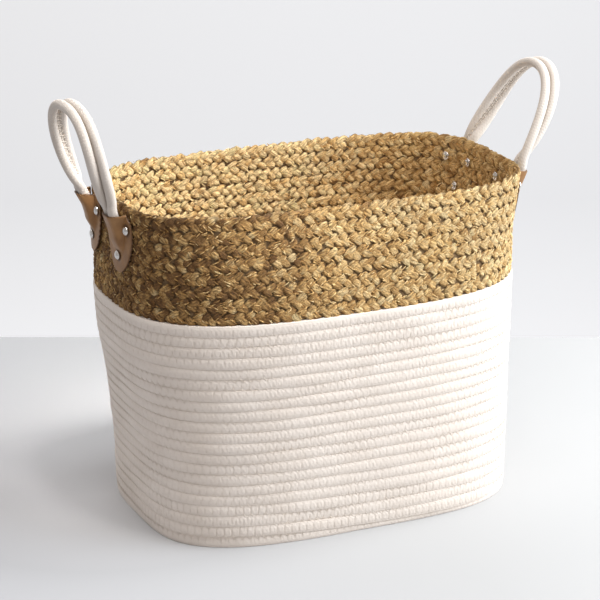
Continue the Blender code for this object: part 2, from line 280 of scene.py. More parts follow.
def unit(vectors):
    return vectors / np.linalg.norm(vectors, axis=-1, keepdims=True)


def loop_along(line):
    """Unit tangents of a closed line."""
    return unit(np.roll(line, -1, 0) - np.roll(line, 1, 0))


def square_to(along, up):
    """The unit part of up square to along, and the third direction."""
    high = unit(up - (up * along).sum(1, keepdims=True) * along)
    return high, np.cross(along, high)


def rings_round(line, high, side, radius, sides):
    """Circles of points round each point of a line."""
    turn = angles_round(sides)
    ring = np.cos(turn)[None, :, None] * high[:, None] + np.sin(turn)[None, :, None] * side[:, None]
    return line[:, None] + radius * ring


def swept(line, first, first_way, second, second_way):
    """Points round each point of a line, at (along, around) distances in two directions."""
    return line[:, None] + first[..., None] * first_way[:, None] + second[..., None] * second_way[:, None]


def cap_triangles(rings, sides, start=0):
    """Triangles closing a tube's ends. Its two tips are the points that follow its rings."""
    k = np.arange(sides)
    following = (k + 1) % sides
    tip = start + rings * sides
    last = tip - sides
    first_cap = np.stack([start + following, start + k, np.full(sides, tip)], -1)
    last_cap = np.stack([last + k, last + following, np.full(sides, tip + 1)], -1)
    return np.concatenate([first_cap, last_cap])


def tubes(lines, ups, radius, sides):
    """Round tubes along several open lines of one length, with pointed ends, as (points, quads, triangles)."""
    points, quads, triangles, start = [], [], [], 0
    for line, up in zip(lines, ups):
        along = unit(np.gradient(line, axis=0))
        body = rings_round(line, *square_to(along, up), radius, sides)
        points += [body.reshape(-1, 3), (line[0] - radius * along[0])[None], (line[-1] + radius * along[-1])[None]]
        quads.append(grid_quads(len(line), sides, False, True, start))
        triangles.append(cap_triangles(len(line), sides, start))
        start += len(line) * sides + 2
    return np.concatenate(points), np.concatenate(quads), np.concatenate(triangles)


class Loops:
    """Gathers closed tubes, with their marks, for one mesh."""

    def __init__(self):
        self.points, self.quads, self.marks, self.start = [], [], {}, 0

    def add(self, rings, **marks):
        """rings holds points as (along, around, 3). A mark has a number or a vector for each of them."""
        steps, sides, _ = rings.shape
        self.points.append(rings.reshape(-1, 3))
        self.quads.append(grid_quads(steps, sides, True, True, self.start))
        self.start += steps * sides
        for mark, values in marks.items():
            self.marks.setdefault(mark, []).append(values.reshape(steps * sides, *values.shape[2:]))

    def add_thread(self, line, up):
        self.add(rings_round(line, *square_to(loop_along(line), up), THREAD_RADIUS, THREAD_SIDES))

    def mesh(self, name, finish):
        marks = {mark: np.concatenate(values) for mark, values in self.marks.items()}
        return mesh_object(name, np.concatenate(self.points), np.concatenate(self.quads), finish, marks=marks)


def strand_mark(way, around, number):
    """A strand's own coordinates for its pattern: along it, around it, and its number."""
    return np.stack(np.broadcast_arrays(way[:, None], around[None, :], number), -1)


def smooth_noise(count, waves, seed):
    """Smooth closed noise of about unit size at count points round a loop, of up to that many waves."""
    rng = np.random.default_rng(seed)
    where = shares(count) * FULL_TURN
    total = np.zeros(count)
    for wave in range(1, waves + 1):
        total += rng.normal() * np.cos(wave * where + rng.uniform(0, FULL_TURN))
    return total / math.sqrt(waves / 2)


def smooth(value, low, high):
    t = np.clip((value - low) / (high - low), 0, 1)
    return t * t * (3 - 2 * t)


# ------------------------------ the body's surface


def superellipse(angles, power):
    c, s = np.cos(angles), np.sin(angles)
    return np.sign(c) * np.abs(c) ** (2 / power), np.sign(s) * np.abs(s) ** (2 / power)


def way_along(points):
    """Distance from the first point to each, along an open line."""
    return np.concatenate([[0], np.cumsum(np.linalg.norm(np.diff(points, axis=0), axis=1))])


def outline_values(z):
    return [np.interp(z, LEVELS[:, 0], LEVELS[:, i]) for i in range(1, 5)]


TABLE_LEVELS = np.linspace(0, RIM_HEIGHT, 151)
TABLE_STEPS = 1440


def even_ring(z, inset=0.0):
    """Points at even distances round the outside at height z: u = 0 at +X, going anticlockwise from above."""
    length, width, square, lean = outline_values(z)
    angle = np.linspace(0, FULL_TURN, 8 * TABLE_STEPS + 1)
    c, s = np.cos(angle), np.sin(angle)
    x = lean + (length - inset) * np.sign(c) * np.abs(c) ** (2 / square)
    y = (width - inset) * np.sign(s) * np.abs(s) ** (2 / square)
    way = np.concatenate([[0], np.cumsum(np.hypot(np.diff(x), np.diff(y)))])
    at = shares(TABLE_STEPS) * way[-1]
    return np.stack([np.interp(at, way, x), np.interp(at, way, y), np.full(TABLE_STEPS, float(z))], -1)


surface = np.array([even_ring(z) for z in TABLE_LEVELS])
across_surface = np.roll(surface, -1, 1) - np.roll(surface, 1, 1)
up_surface = np.gradient(surface, axis=0)
normals = unit(np.cross(across_surface, up_surface))


def on_body(u, z):
    """Points and outward normals of the body's outside at u (turns round it) and height z, as arrays."""
    u, z = np.broadcast_arrays(np.asarray(u, float), np.asarray(z, float))
    column = (u % 1.0) * TABLE_STEPS
    row = np.clip(z / RIM_HEIGHT, 0, 0.999999) * (len(TABLE_LEVELS) - 1)
    j, i = column.astype(int) % TABLE_STEPS, row.astype(int)
    fj, fi = (column - column.astype(int))[..., None], (row - i)[..., None]
    nj, ni = (j + 1) % TABLE_STEPS, i + 1
    found = []
    for table in (surface, normals):
        low = table[i, j] * (1 - fj) + table[i, nj] * fj
        high = table[ni, j] * (1 - fj) + table[ni, nj] * fj
        found.append(low * (1 - fi) + high * fi)
    points, out = found
    points[..., 2] = z
    return points, unit(out)


# ------------------------------ materials


class Nodes:
    """A short way to build a node tree."""

    def __init__(self, name, colour):
        self.material = bpy.data.materials.new(name)
        self.material.use_nodes = True
        self.material.diffuse_color = (*colour, 1)
        self.tree = self.material.node_tree
        self.shader = self.tree.nodes["Principled BSDF"]

    def add(self, kind, inputs=None, **settings):
        node = self.tree.nodes.new(kind)
        for key, value in settings.items():
            setattr(node, key, value)
        for key, value in (inputs or {}).items():
            self.put(value, node.inputs[key])
        return node

    def put(self, value, socket):
        if isinstance(value, bpy.types.NodeSocket):
            self.tree.links.new(value, socket)
        else:
            socket.default_value = value

    def mix(self, share, first, second, blend="MIX"):
        node = self.add("ShaderNodeMix", data_type="RGBA", blend_type=blend)
        self.put(share, node.inputs[0])
        self.put(first, node.inputs[6])
        self.put(second, node.inputs[7])
        return node.outputs[2]

    def tint(self, mask, share, colour, other):
        """The colour, taken towards another by a share of the mask."""
        return self.mix(self.math("MULTIPLY", mask, share), colour, other)

    def times(self, colour, other, share=1.0):
        return self.mix(share, colour, other, "MULTIPLY")

    def ramp(self, value, *stops):
        """A colour ramp. A stop is (position, colour), and a lone number for the colour is a grey."""
        places = [position for position, _ in stops]
        colours = [(*(colour if isinstance(colour, tuple) else (colour,) * 3), 1) for _, colour in stops]
        node = self.add("ShaderNodeValToRGB", {"Fac": value})
        elements = node.color_ramp.elements
        for element, end in zip(elements, (0, -1)):
            element.position, element.color = places[end], colours[end]
        for position, colour in zip(places[1:-1], colours[1:-1]):
            elements.new(position).color = colour
        return node.outputs["Color"]

    def math(self, operation, a, b=0.0):
        node = self.add("ShaderNodeMath", operation=operation)
        self.put(a, node.inputs[0])
        self.put(b, node.inputs[1])
        return node.outputs[0]

    def noise(self, where, scale, detail=4.0, roughness=0.55):
        inputs = {"Vector": where, "Scale": scale, "Detail": detail, "Roughness": roughness}
        return self.add("ShaderNodeTexNoise", inputs).outputs["Fac"]

    def place(self):
        return self.add("ShaderNodeTexCoord").outputs["Object"]

    def mark(self, name, output="Fac"):
        return self.add("ShaderNodeAttribute", attribute_name=name).outputs[output]

    def stretch(self, where, scale):
        return self.add("ShaderNodeMapping", {"Vector": where, "Scale": scale}).outputs["Vector"]

    def bump(self, height, strength, distance, under=None):
        inputs = {"Height": height, "Strength": strength, "Distance": distance}
        if under is not None:
            inputs["Normal"] = under
        return self.add("ShaderNodeBump", inputs).outputs["Normal"]

    def finish(self, **inputs):
        for key, value in inputs.items():
            self.put(value, self.shader.inputs[key.replace("_", " ")])
        return self.material


def darkened(colour, *shares):
    return (*(value * share for value, share in zip(colour, shares)), 1)


# name: light and dark colour, scale of the rope cover's pattern
COTTONS = {
    "cotton_rope": ((0.83, 0.752, 0.686), (0.775, 0.690, 0.618), 150.0),
    "strap_cotton": ((0.68, 0.62, 0.565), (0.615, 0.55, 0.49), 190.0),
    "sewing_thread": ((0.80, 0.72, 0.64), (0.72, 0.64, 0.555), 400.0),
}


def cotton_material(name, light, dark, weave):
    n = Nodes(name, light)
    where = n.place()
    blotch = n.noise(where, 38.0, 3.0)
    fuzz = n.noise(where, 2600.0, 2.0, 0.7)
    colour = n.mix(n.ramp(blotch, (0.3, 0), (0.75, 1)), (*dark, 1), (*light, 1))
    # Painted shade in the needle holes, in the grooves between rows and coils, and where the strap's ropes meet.
    colour = n.tint(n.mark("hollow"), 0.55, colour, darkened(dark, 0.62, 0.56, 0.48))
    colour = n.tint(fuzz, 0.16, colour, darkened(dark, 0.7, 0.66, 0.6))
    strand = n.mark("strand", "Vector")
    wave = n.add(
        "ShaderNodeTexWave",
        {"Vector": strand, "Scale": weave, "Distortion": 2.0, "Detail": 2.0, "Detail Scale": 2.0},
        bands_direction="DIAGONAL",
    ).outputs["Fac"]
    threads = n.bump(wave, 0.18, 0.0005)
    lint = n.noise(where, 820.0, 3.0, 0.6)
    fibres = n.bump(lint, 0.55, 0.0007, n.bump(fuzz, 0.5, 0.0003, threads))
    return n.finish(
        Base_Color=colour,
        Roughness=0.92,
        Normal=fibres,
        Sheen_Weight=0.25,
        Sheen_Roughness=0.5,
        Specular_IOR_Level=0.2,
    )


def seagrass_material():
    n = Nodes("seagrass_plait", (0.50, 0.35, 0.16))
    strand = n.mark("strand", "Vector")
    shade = n.mark("shade")
    long_patches = n.noise(n.stretch(strand, (26.0, 0.9, 1.0)), 1.0, 3.0)
    streaks = n.noise(n.stretch(strand, (130.0, 3.0, 1.0)), 1.0, 4.0, 0.65)
    fine = n.noise(n.stretch(strand, (340.0, 10.0, 1.0)), 1.0, 3.0, 0.7)
    patches = n.noise(n.place(), 26.0, 2.0)
    # The shade mark holds each blade's own tone and painted light and shade as well: darker outside round the -X
    # end, paler at the +X end and on the inside.
    tone = n.math("ADD", n.math("MULTIPLY", long_patches, 0.55), n.math("MULTIPLY", shade, 0.45))
    colour = n.ramp(
        tone,
        (0.20, (0.21, 0.112, 0.042)),
        (0.36, (0.49, 0.298, 0.115)),
        (0.50, (0.73, 0.508, 0.232)),
        (0.62, (0.88, 0.70, 0.405)),
        (0.80, (0.70, 0.595, 0.325)),
    )
    dark_streak = n.ramp(streaks, (0.36, (0.42, 0.34, 0.26)), (0.48, (0.95, 0.92, 0.88)), (0.66, (1.2, 1.17, 1.1)))
    colour = n.times(colour, dark_streak)
    fine_streak = n.ramp(fine, (0.36, (0.45, 0.38, 0.30)), (0.52, 1.0), (0.7, 1.2))
    colour = n.times(colour, fine_streak, 0.75)
    warm = n.ramp(patches, (0.35, (0.93, 0.90, 0.88)), (0.65, (1.06, 1.03, 0.98)))
    colour = n.times(colour, warm)
    # Painted shade in the plait's gaps.
    colour = n.tint(n.mark("hollow"), 0.72, colour, (0.10, 0.06, 0.03, 1))
    ridges = n.bump(streaks, 0.9, 0.0014)
    fibres = n.bump(fine, 0.8, 0.0007, ridges)
    rough = n.ramp(streaks, (0.3, 0.80), (0.7, 0.55))
    return n.finish(Base_Color=colour, Roughness=rough, Normal=fibres, Specular_IOR_Level=0.18)


def core_material():
    n = Nodes("seagrass_shade_core", (0.10, 0.06, 0.03))
    specks = n.noise(n.place(), 420.0, 3.0)
    # The near-black colour is painted shade: the plait's inside, deep in shadow.
    colour = n.ramp(specks, (0.3, (0.10, 0.06, 0.028)), (0.7, (0.26, 0.165, 0.08)))
    return n.finish(Base_Color=colour, Roughness=0.95, Normal=n.bump(specks, 0.6, 0.001))


def leather_material():
    n = Nodes("tan_leather", (0.42, 0.26, 0.15))
    where = n.place()
    blotch = n.noise(where, 60.0, 4.0)
    grain = n.add("ShaderNodeTexVoronoi", {"Vector": where, "Scale": 1500.0}, feature="F1").outputs["Distance"]
    creases = n.noise(n.stretch(where, (1.0, 1.0, 0.35)), 260.0, 5.0, 0.6)
    colour = n.ramp(blotch, (0.3, (0.235, 0.115, 0.042)), (0.5, (0.30, 0.153, 0.058)), (0.72, (0.365, 0.195, 0.080)))
    # The edge mark darkens the cut edge, which is darker leather, and paints shade round each rivet cap and over the
    # whole underside, which lies against the wall.
    colour = n.mix(n.mark("edge"), colour, (0.11, 0.058, 0.028, 1))
    # Painted shade in the creases.
    marks = n.ramp(creases, (0.30, (0.78, 0.76, 0.74)), (0.45, 1))
    colour = n.times(colour, marks, 0.6)
    rough = n.ramp(blotch, (0.3, 0.36), (0.7, 0.52))
    pores = n.bump(grain, 0.22, 0.0003)
    folds = n.bump(creases, 0.3, 0.0006, pores)
    return n.finish(
        Base_Color=colour,
        Roughness=rough,
        Normal=folds,
        Specular_IOR_Level=0.28,
        Coat_Weight=0.04,
        Coat_Roughness=0.3,
    )


def nickel_material():
    n = Nodes("nickel", (0.72, 0.70, 0.67))
    where = n.place()
    haze = n.noise(where, 900.0, 3.0)
    scratches = n.noise(n.stretch(where, (1.0, 6.0, 1.0)), 1400.0, 3.0, 0.7)
    colour = n.ramp(haze, (0.3, (0.62, 0.60, 0.57)), (0.7, (0.80, 0.78, 0.75)))
    rough = n.ramp(haze, (0.3, 0.16), (0.7, 0.30))
    return n.finish(Base_Color=colour, Metallic=1.0, Roughness=rough, Normal=n.bump(scratches, 0.06, 0.0002))


TABLE_SIZE = 8.0  # from its middle to each side
TABLE_EDGE, WALL_PLACE = 0.414, 2.1  # behind the body's middle
WALL_BOTTOM, WALL_TOP = -3, 6
# x or height, colour there
# Painted light and shade: the table is coloured lighter towards -X and +X than at its middle.
TABLE_COLOURS = ((-0.45, (0.462, 0.465, 0.484)), (0.05, (0.425, 0.425, 0.426)), (0.45, (0.452, 0.451, 0.450)))
# Painted light: the wall is coloured lighter towards its bottom, where the table shades it.
WALL_COLOURS = ((-0.62, (0.935, 0.945, 0.965)), (-0.32, (0.775, 0.782, 0.80)), (0.02, (0.755, 0.76, 0.775)))
# Painted light: the wall gives off a little light of its own, though it is no lamp.
WALL_PAINTED_GLOW = 0.16
TABLE_PAINTED_LIGHT = (-0.18, 0.05, 0.17, 1.55)  # x, y, radius and gain of a round area of painted light on the table, lightening the body's shadow off its -X end


def stage_material(name, axis, stops, painted_glow=0.0, painted_light_patch=None):
    """A matt colour that changes along one axis of the scene, as painted light and shade; it may give off painted
    light of its own and carry a round area of painted light.
    """
    n = Nodes(name, stops[0][1])
    where = n.add("ShaderNodeSeparateXYZ", {"Vector": n.place()}).outputs[axis]
    # A ramp runs from 0 to 1, so one metre either side of the middle is brought into it.
    where = n.math("ADD", n.math("MULTIPLY", where, 0.5), 0.5)
    colour = n.ramp(where, *((0.5 + 0.5 * position, colour) for position, colour in stops))
    if painted_light_patch:
        # A round area of painted light, lightest at its middle.
        x, y, radius, gain = painted_light_patch
        inputs = {"Vector": n.place(), "Location": (-x / radius, -y / radius, 0), "Scale": (1 / radius,) * 3}
        spot = n.add("ShaderNodeMapping", inputs).outputs["Vector"]
        near = n.add("ShaderNodeTexGradient", {"Vector": spot}, gradient_type="SPHERICAL").outputs["Fac"]
        colour = n.times(colour, n.ramp(near, (0.0, 1), (1.0, gain)))
    return n.finish(
        Base_Color=colour,
        Roughness=0.8,
        Specular_IOR_Level=0.1,
        # Painted light: the surface gives off light of its own.
        Emission_Color=colour,
        Emission_Strength=painted_glow,
    )


def make_stage():
    """A pale table and a pale wall behind it, square to the camera."""
    size = TABLE_SIZE
    turn = np.array([(math.cos(AZIMUTH), math.sin(AZIMUTH)), (-math.sin(AZIMUTH), math.cos(AZIMUTH))])
    table = np.array([(-size, -size, 0), (size, -size, 0), (size, TABLE_EDGE, 0), (-size, TABLE_EDGE, 0)], float)
    wall = table.copy()
    wall[:, 1] = WALL_PLACE
    wall[:2, 2], wall[2:, 2] = WALL_BOTTOM, WALL_TOP
    for name, corners, finish in (
        ("table", table, stage_material("table", "X", TABLE_COLOURS, painted_light_patch=TABLE_PAINTED_LIGHT)),
        ("backdrop", wall, stage_material("backdrop", "Z", WALL_COLOURS, painted_glow=WALL_PAINTED_GLOW)),
    ):
        corners[:, :2] = corners[:, :2] @ turn
        mesh_object(name, corners, [(0, 1, 2, 3)], finish)


# ------------------------------ cotton body


def row_edges():
    """Height of each edge between cotton rows, at each step round the body."""
    u = shares(ROW_STEPS)
    edges = np.linspace(0, SEAM_HEIGHT - PART_GAP, COTTON_ROWS + 1)[:, None] * np.ones(ROW_STEPS)
    # The lowest row is squeezed out of sight towards the front right.
    past = (u - SQUEEZE_START) % 1.0
    squeeze = smooth(past, 0.03, 0.20) * (1 - smooth(past, 0.62, 0.80))
    pitch = SEAM_HEIGHT / COTTON_ROWS
    for k in range(1, SQUEEZED_ROWS + 1):
        edges[k] -= 0.55 * pitch * squeeze * (1 - (k - 1) / SQUEEZED_ROWS)
    for k in range(1, COTTON_ROWS):
        edges[k] += 0.00022 * smooth_noise(ROW_STEPS, 9, 100 + k)
    return edges


def zigzag(t):
    """From -1 to 1 and back, once for each whole number."""
    return 4 * np.abs(t % 1.0 - 0.5) - 1


SECTION_OUTER = np.radians([-90, -78, -66, -52, -38, -24, -9, 9, 24, 38, 52, 66, 78, 90])
SECTION_INNER = np.radians([112, 138, 165, 195, 222, 248])


def bottom_inset(z):
    """How far the rounded bottom edge draws in at height z."""
    return FLOOR_INSET * np.interp(z, (0.0, 0.002, 0.005, 0.010), (1.0, 0.52, 0.17, 0.0))


def body_frame(u, z):
    """Points on the body with their outward and upward directions."""
    place, out = on_body(u, z)
    above, _ = on_body(u, z + 0.002)
    return place, out, unit(above - place)


def make_cotton_rows(finish, edges, phases):
    steps = ROW_STEPS
    u = shares(steps)
    angles = np.concatenate([SECTION_OUTER, SECTION_INNER])
    out_share, up_share = superellipse(angles, ROPE_SQUARENESS)
    # Neighbouring rows press together, so the groove between them stays shallow.
    groove = smooth(np.abs(up_share), 0.93, 1.0)
    out_share = np.where(np.cos(angles) > -0.01, np.maximum(out_share, 0.88 - 0.17 * groove), out_share)
    count = len(angles)
    pieces = []
    # The machine pulls some stitches tighter than others.
    pull = [np.clip(1 + 0.14 * smooth_noise(steps, 70, 600 + k), 0.25, 1.8)[:, None] for k in range(COTTON_ROWS + 1)]
    for k in range(COTTON_ROWS):
        low, high = edges[k], edges[k + 1]
        centre, half = (low + high) / 2, (high - low) / 2 + 0.00012
        bulge = 0.00018 * smooth_noise(steps, 14, 300 + k)
        place, out, upward = body_frame(u, centre)
        inset = bottom_inset(centre + 0.0012) * (half / half.max())
        middle = place - (ROPE_HALF_THICK + inset)[:, None] * out
        height = half[:, None] * up_share[None, :]
        depth = np.zeros((steps, count))
        # These marks are painted shade: in the stitch dents, the needle holes and the grooves between rows.
        marks = np.zeros((steps, count))
        for edge, sign in ((k, 1), (k + 1, -1)):
            if edge in (0, COTTON_ROWS):
                continue
            seam_distance = centre[:, None] + height - edges[edge][:, None]
            swing = zigzag(np.arange(steps) / STEPS_PER_STITCH + phases[edge])[:, None]
            thread = STITCH_REACH * swing
            near = np.exp(-(((seam_distance - thread) / STITCH_WIDTH) ** 2)) * (np.cos(angles) > -0.05)
            holes = near * smooth(np.abs(swing), 0.62, 1.0) * (np.sign(thread) == sign)
            depth += (STITCH_DEPTH * near + HOLE_DEPTH * holes) * pull[edge]
            marks += (STITCH_SHADE * near + HOLE_SHADE * holes) * pull[edge]
        marks = np.clip(marks + GROOVE_SHADE * groove[None, :], 0, 1)
        thick = (ROPE_HALF_THICK - 0.0001 + bulge)[:, None]
        outward = thick * out_share[None, :] - depth * np.maximum(out_share, 0)[None, :]
        ring = swept(middle, outward, out, height, upward)
        ring[..., 2] = np.maximum(ring[..., 2], 0.00005)
        if k % ROWS_PER_PIECE == 0:
            pieces.append(Loops())
        strand = strand_mark(u * BODY_ROUND + 0.37 * k, angles * ROPE_HALF_THICK, 0.1 * k)
        pieces[-1].add(ring, hollow=marks, strand=strand)
    return [piece.mesh(f"cotton_rows_{number + 1}", finish) for number, piece in enumerate(pieces)]


def zigzag_line(place, out, across, reach, phase, stitches, lift, sink):
    """Thread of one seam as a closed line: place, out and across are arrays of points round the seam."""
    steps = len(place)
    t = np.arange(stitches * 6) / 6
    at = (t / stitches * steps) % steps
    index = at.astype(int)
    share = (at - index)[:, None]

    def sample(values):
        return values[index % steps] * (1 - share) + values[(index + 1) % steps] * share

    zig = zigzag(t + phase)[:, None]
    level = lift - (lift + sink) * np.abs(zig) ** 6
    return sample(place) + reach * zig * sample(across) + level * sample(out)


def make_cotton_thread(finish, edges, phases):
    u = shares(ROW_STEPS)
    for side, name in ((1, "outside"), (-1, "inside")):
        thread = Loops()
        for k in range(1, COTTON_ROWS):
            place, out, across = body_frame(u, edges[k])
            if side < 0:
                place = place - 2 * ROPE_HALF_THICK * out
                out = -out
            else:
                place = place - bottom_inset(edges[k])[:, None] * out
            seam = place - THREAD_SINK * out
            line = zigzag_line(seam, out, across, STITCH_REACH, phases[k], STITCHES, 0.0001, 0.0004)
            thread.add_thread(line, out[np.linspace(0, ROW_STEPS, len(line), endpoint=False).astype(int)])
        yield thread.mesh(f"cotton_thread_{name}", finish)


def steps_of(loop):
    """Distance from each point of a closed line to the next."""
    return np.linalg.norm(np.diff(loop, axis=0, append=loop[:1]), axis=1)


def base_insets():
    """How far in from the outline each ring of the base lies, and the width of one ring."""
    start = COTTON_THICK + 0.0009
    pitch = (LEVELS[0, 2] - start) / BASE_RINGS
    return start + pitch * (np.arange(BASE_RINGS) + 0.5), pitch


def make_base(finish):
    """The flat coil under and inside the body."""
    half = COTTON_THICK / 2
    angles = angles_round(12)
    out_share, up_share = superellipse(angles, 3.0)
    insets, pitch = base_insets()
    coil = Loops()
    for number, inset in enumerate(insets):
        middle = even_ring(0.0, inset)[::3]
        out = np.cross(loop_along(middle), UPWARD)
        wobble = 0.00015 * smooth_noise(len(middle), 11, 500 + number)
        lift = (half + wobble)[:, None] * up_share[None, :]
        ring = middle[:, None] + (pitch / 2 + 0.0004) * out_share[None, :, None] * out[:, None]
        ring[..., 2] = np.clip(half + lift, 0.00005, 2 * half + 0.0003)
        # Painted shade where each ring meets its neighbours.
        hollow = np.broadcast_to(smooth(np.abs(out_share), 0.82, 1.0), lift.shape)
        strand = strand_mark(np.cumsum(steps_of(middle)), angles * ROPE_HALF_THICK, 0.1 * number)
        coil.add(ring, hollow=hollow, strand=strand)
    return coil.mesh("cotton_base_coil", finish)


def make_base_thread(finish):
    insets, pitch = base_insets()
    thread = Loops()
    for inset in insets[:-1] + pitch / 2:
        place = even_ring(COTTON_THICK - 0.0006, 0.0)
        place[:, :2] = even_ring(0.0, inset)[:, :2]
        upward = np.broadcast_to(UPWARD, place.shape)
        stitches = max(8, round(steps_of(place).sum() / BASE_STITCH))
        across = np.cross(loop_along(place), upward)
        line = zigzag_line(place, upward, across, STITCH_REACH, 0.2, stitches, 0.0003, 0.0004)
        thread.add_thread(line, np.broadcast_to(UPWARD, line.shape))
    return thread.mesh("base_thread", finish)


# ------------------------------ seagrass band


PLAIT_PITCH = (RIM_HEIGHT - SEAM_HEIGHT) / PLAIT_ROWS


def drawn_in(z):
    """How far inside the outline the band lies at height z."""
    return 0.001 * (RIM_HEIGHT - z) / (RIM_HEIGHT - SEAM_HEIGHT)


def band_middle(u, z):
    """Middle of the band's thickness, with its outward normal."""
    place, out = on_body(u, z)
    return place - (SEAGRASS_THICK / 2 + drawn_in(z))[..., None] * out, out


def shaded_end(u):
    """Where the band's outside gets painted shade: 1 round the -X end and its corners, falling to 0 along the sides.
    """
    return smooth(u, 0.30, 0.44) * (1 - smooth(u, 0.60, 0.76))


def outside_painted_light(u):
    """Painted light and shade on the band's outside: darker round its -X end, away from the light, and paler at the
    +X end, which faces it.
    """
    lit_end = smooth(u, 0.76, 0.92) + 1 - smooth(u, 0.04, 0.16)
    return 0.16 * lit_end - 0.46 * shaded_end(u)


def inside_painted_light(u):
    """Painted light on the band's inside: paler round the back and the -X end, and a little darker round its +X end,
    which the end wall shades.
    """
    return 0.28 - 0.36 * (1 - smooth(np.minimum(u, 1 - u), 0.10, 0.24))


def make_plait_row(row, finish):
    steps = STRAND_SAMPLES
    u = shares(steps)
    edge_row = row in (0, PLAIT_ROWS - 1)
    drift, waves = (0.00012, 12) if edge_row else (0.00035, 14)
    level = SEAM_HEIGHT + PLAIT_PITCH * (row + 0.5) + drift * smooth_noise(steps, waves, 700 + row)
    angles = angles_round(STRAND_SIDES)
    faces_out = smooth(np.cos(angles), -0.3, 0.3)[None, :]
    plait = Loops()
    for j in range(3):
        seed = 10 * row + j
        wander = 0.26 * smooth_noise(steps, 40, 800 + seed)
        theta = FULL_TURN * (PLAIT_REPEATS * u + j / 3 + 0.31 * row) + wander
        swing = STRAND_SWING * (1 + 0.11 * smooth_noise(steps, 60, 900 + seed))
        # Nearly straight runs between the turns at the row's edges
        z = level + swing * np.arcsin(0.94 * np.sin(theta)) / math.asin(0.94)
        place, out = band_middle(u, np.clip(z, SEAM_HEIGHT + 0.001, RIM_HEIGHT - 0.0006))
        over = np.tanh(2.2 * np.sin(2 * theta)) / math.tanh(2.2)
        line = place + (STRAND_DEPTH * over)[:, None] * out
        high, side = square_to(loop_along(line), out)
        swell = 0.84 + 0.30 * np.abs(over) + 0.09 * smooth_noise(steps, 90, 1000 + seed)
        rng = np.random.default_rng(1100 + seed)
        twist = rng.uniform(-1, 1) * FULL_TURN * 20 * u + 1.6 * smooth_noise(steps, 160, 1200 + seed)
        crest = np.abs(np.cos((BLADES * angles[None, :]) / 2 + twist[:, None]))
        lobes = 0.20 * (crest - 0.64) + 0.055 * rng.normal(size=(steps, STRAND_SIDES))
        wide = STRAND_HALF_WIDTH * swell[:, None] * (1 + lobes)
        thick = STRAND_HALF_THICK * (1.9 - 0.9 * swell)[:, None] * (1 + 1.5 * lobes)
        # Painted shade in the gaps: at each strand's sides, where it dives under the next and between its blades;
        # the inside gets less, the -X end more.
        sideways = np.abs(np.sin(angles))[None, :] ** 3
        diving = np.clip(1 - 1.6 * over[:, None] * np.cos(angles)[None, :], 0, 1) ** 2
        deep = INSIDE_GAP_SHADE + (1 - INSIDE_GAP_SHADE) * faces_out + END_GAP_SHADE * faces_out * shaded_end(u)[:, None]
        gaps = 0.22 * sideways + 0.55 * diving + 0.8 * (1 - crest) ** 2.2
        # Each visible bump is a different blade, so it has a tone of its own.
        blade = ((theta + math.pi / 4) // (math.pi / 2)).astype(int) % MOST_BUMPS
        tone = np.random.default_rng(1300 + seed).normal(0.5, 0.17, MOST_BUMPS)[blade]
        tone = np.convolve(np.concatenate([tone[-2:], tone, tone[:2]]), np.ones(5) / 5, "valid")
        # Painted light and shade: round the -X end the blades' tones are spread further apart, for stronger relief
        # shading there.
        tone = 0.5 + (tone - 0.5) * (1 + 1.1 * shaded_end(u))
        tone = tone[:, None] + faces_out * outside_painted_light(u)[:, None]
        plait.add(
            swept(line, thick * np.cos(angles), high, wide * np.sin(angles), side),
            hollow=np.clip(deep * gaps, 0, 1),
            strand=strand_mark(u * BAND_ROUND + 1.7 * j + 5.1 * row, angles, 3.0 * row + j),
            shade=tone + (1 - faces_out) * inside_painted_light(u)[:, None],
        )
    return plait.mesh(f"seagrass_row_{row + 1}", finish)


def make_core(finish):
    """A thin dark layer in the middle of the plait, so that no light shows through its crossings; its dark colour is
    painted shade.
    """
    steps = 240
    half = 0.0005
    u = shares(steps)
    levels = np.linspace(SEAM_HEIGHT + 0.002, RIM_HEIGHT - 0.004, 10)
    rings = []
    for offset, heights in ((half, levels), (-half, levels[::-1])):
        for z in heights:
            place, out = band_middle(u, np.full(steps, z))
            rings.append(place + offset * out)
    return mesh_object("seagrass_shade_core", np.concatenate(rings), grid_quads(len(rings), steps, True, True), finish)


def make_fibres(finish):
    """Split blades lying over the plait, and loose hairs standing a little off it."""
    rng = np.random.default_rng(41)
    for name, (count, lengths, stand, radius, sides, flat) in FIBRES.items():
        lines, ups, tones = [], [], []
        for _ in range(count):
            u0, z0 = rng.uniform(), rng.uniform(SEAM_HEIGHT + 0.002, RIM_HEIGHT - 0.001)
            side = 1 if rng.uniform() < 0.62 else -1
            above = ((z0 - SEAM_HEIGHT) / PLAIT_PITCH) % 1.0 > 0.5
            slope = (side if above else -side) * rng.uniform(0.15, 0.85)
            if not flat and rng.uniform() < 0.4:
                slope = -slope
            length = rng.uniform(*lengths)
            t = np.linspace(-0.5, 0.5, FIBRE_POINTS)
            u = u0 + t * length * math.cos(slope) / BAND_ROUND
            z = np.clip(z0 + t * length * math.sin(slope), SEAM_HEIGHT + 0.001, RIM_HEIGHT + 0.0004)
            place, out = band_middle(u % 1.0, z)
            lift = rng.uniform(0.0021, 0.0027) - 0.0032 * t**2 + rng.uniform(0, stand) * (t + 0.5) ** 2
            lines.append(place + side * lift[:, None] * out)
            ups.append(out)
            # Each fibre takes the band's painted light and shade where it lies.
            tone = rng.normal(0.52, 0.27) + float(0.6 * outside_painted_light(u0) if side > 0 else inside_painted_light(u0))
            tones.append(np.full(FIBRE_POINTS * sides + 2, tone))
        points, quads, triangles = tubes(lines, ups, radius, sides)
        marks = {"hollow": np.zeros(len(points)), "shade": np.concatenate(tones), "strand": points * 3.0}
        yield mesh_object(f"seagrass_{name}", points, quads, finish, triangles, marks)


# ------------------------------ straps


